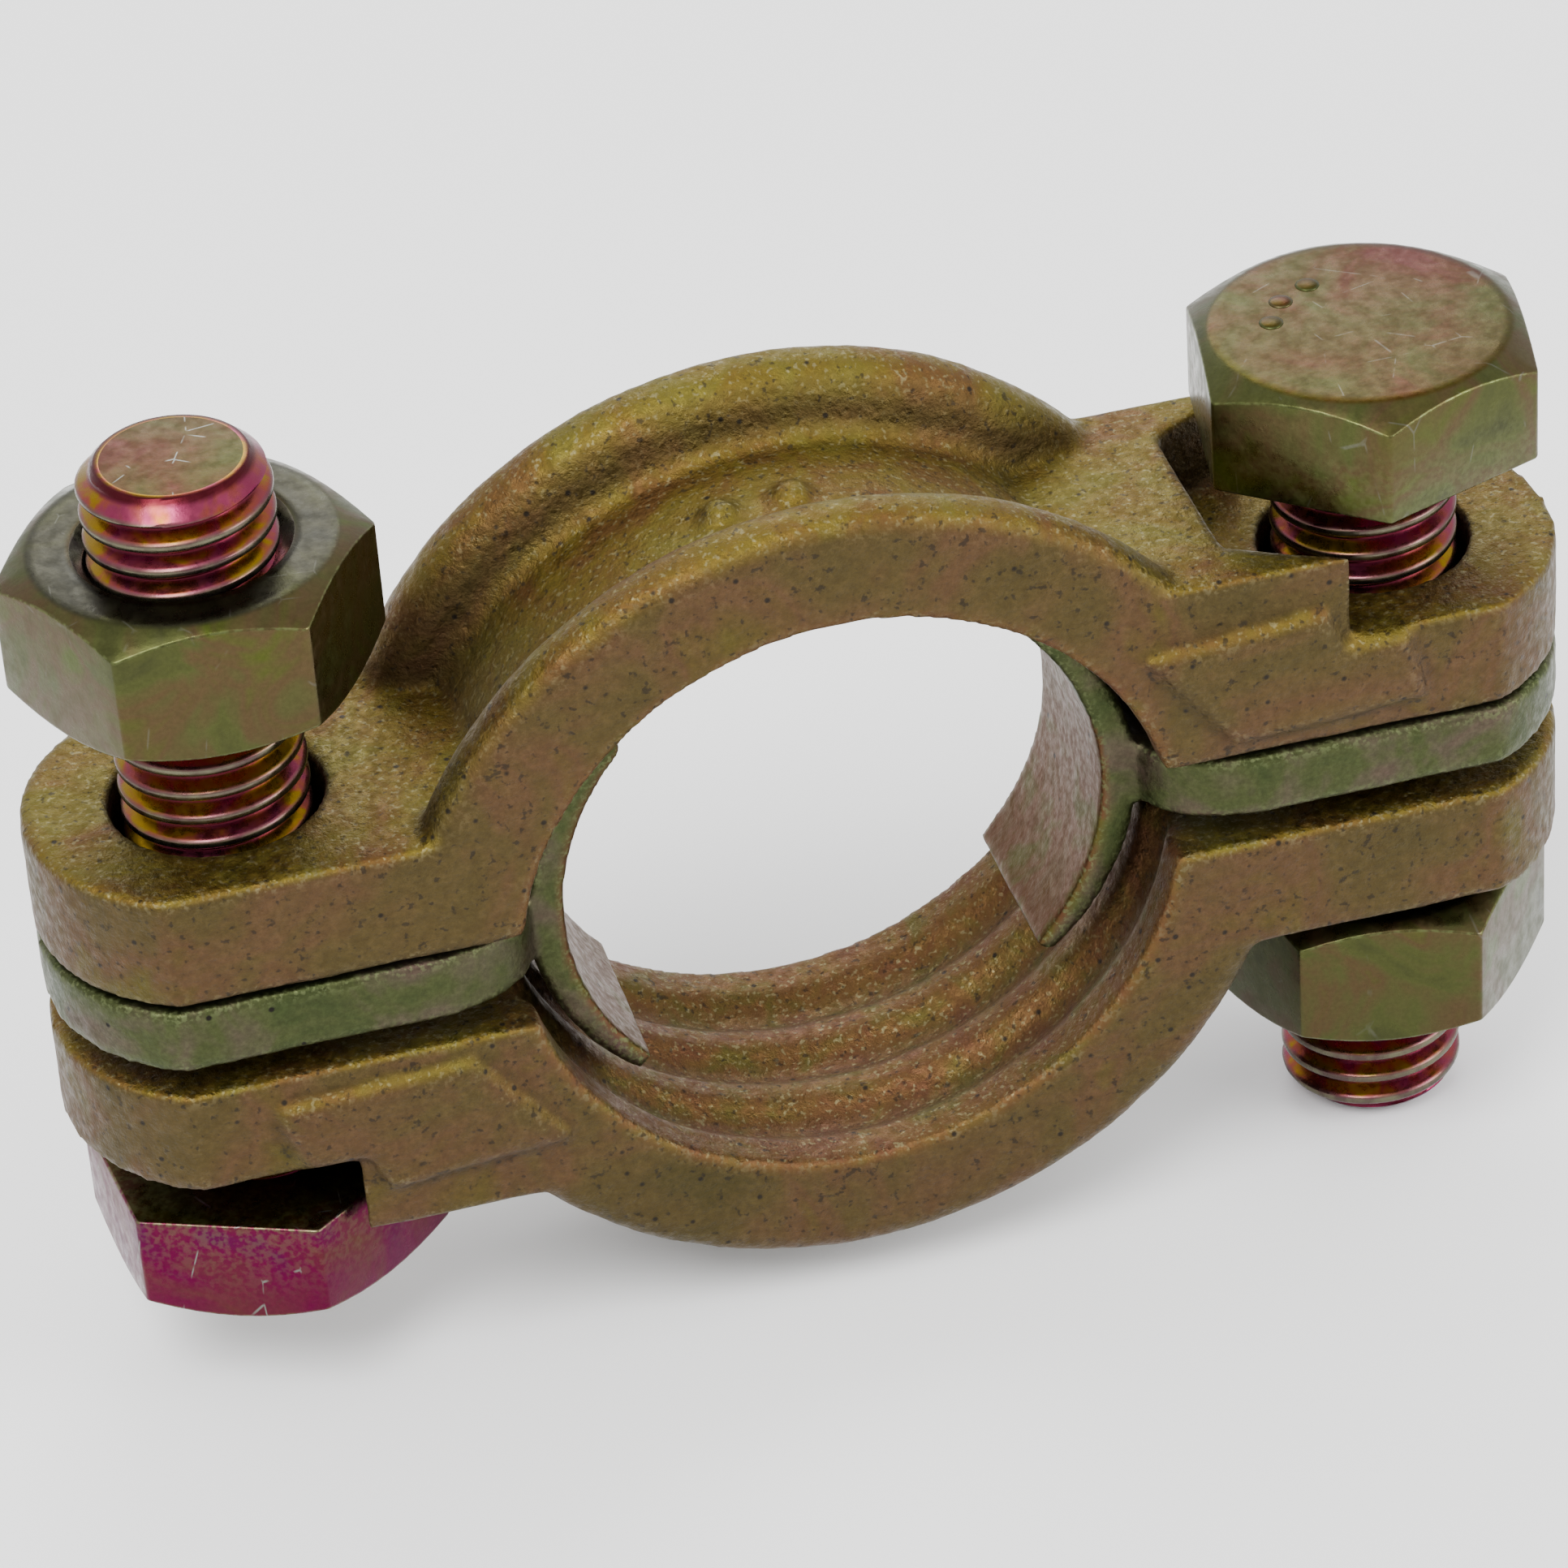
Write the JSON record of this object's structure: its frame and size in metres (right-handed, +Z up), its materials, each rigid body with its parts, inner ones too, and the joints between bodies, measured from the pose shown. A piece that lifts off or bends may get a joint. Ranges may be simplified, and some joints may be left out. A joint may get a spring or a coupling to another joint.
{
  "type": "two-bolt hose clamp",
  "caption": "Cast two-part clamp with a round bore, a pair of bolted lugs and two loose saddles that bridge the gap between its halves round a hose.",
  "frame": {"origin": "middle of the hose bore, on its axis and halfway along its length", "axes": "+X from the left bolt to the right bolt, +Y along the bore away from the front face, +Z up along the bolts"},
  "size_m": [0.0828, 0.0196, 0.0547],
  "materials": {
    "casting": "sand-cast, yellow zinc plated",
    "saddle_casting": "fine cast, yellow zinc plated, greenish",
    "bolt_steel": "yellow zinc plated, pink and gold iridescence",
    "nut_steel": "yellow zinc plated, olive iridescence"
  },
  "bodies": {
    "lower_half": {"lower_half": "casting"},
    "upper_half": {"upper_half": "casting"},
    "left_saddle": {"left_saddle": "saddle_casting"},
    "right_saddle": {"right_saddle": "saddle_casting"},
    "left_bolt": {"left_bolt": "bolt_steel"},
    "right_bolt": {"right_bolt": "bolt_steel"},
    "left_nut": {"left_nut": "nut_steel"},
    "right_nut": {"right_nut": "nut_steel"}
  },
  "joints": [
    {"name": "clamp_close", "type": "slide", "parent": "lower_half", "child": "upper_half", "axis": [0, 0, -1], "range_m": [-0.00135, 0.0014]},
    {"name": "left_saddle_follow", "type": "slide", "parent": "lower_half", "child": "left_saddle", "axis": [0, 0, -1], "range_m": [-0.00135, 0.0014]},
    {"name": "right_saddle_follow", "type": "slide", "parent": "lower_half", "child": "right_saddle", "axis": [0, 0, -1], "range_m": [-0.00135, 0.0014]},
    {"name": "left_bolt_draw", "type": "slide", "parent": "lower_half", "child": "left_bolt", "axis": [0, 0, 1], "range_m": [-0.0032, 0.0033]},
    {"name": "right_bolt_draw", "type": "slide", "parent": "upper_half", "child": "right_bolt", "axis": [0, 0, -1], "range_m": [-0.0062, 0.00645]},
    {"name": "left_nut_turn", "type": "hinge", "parent": "upper_half", "child": "left_nut", "pos_m": [-0.0312, 0, 0.02], "axis": [0, 0, -1], "range_deg": [-1080, 1125]},
    {"name": "right_nut_turn", "type": "hinge", "parent": "lower_half", "child": "right_nut", "pos_m": [0.0312, 0, -0.0139], "axis": [0, 0, 1], "range_deg": [-1804, 1880]}
  ],
  "couplings": [
    {"joint": "clamp_close", "follows": "left_nut_turn", "m_per_rad": 0.000071112},
    {"joint": "left_saddle_follow", "follows": "left_nut_turn", "m_per_rad": 0.000071112},
    {"joint": "right_saddle_follow", "follows": "left_nut_turn", "m_per_rad": 0.000071112},
    {"joint": "left_bolt_draw", "follows": "left_nut_turn", "m_per_rad": 0.00016762},
    {"joint": "right_bolt_draw", "follows": "left_nut_turn", "m_per_rad": 0.00032762},
    {"joint": "right_nut_turn", "follows": "left_nut_turn", "ratio": 1.6702}
  ]
}
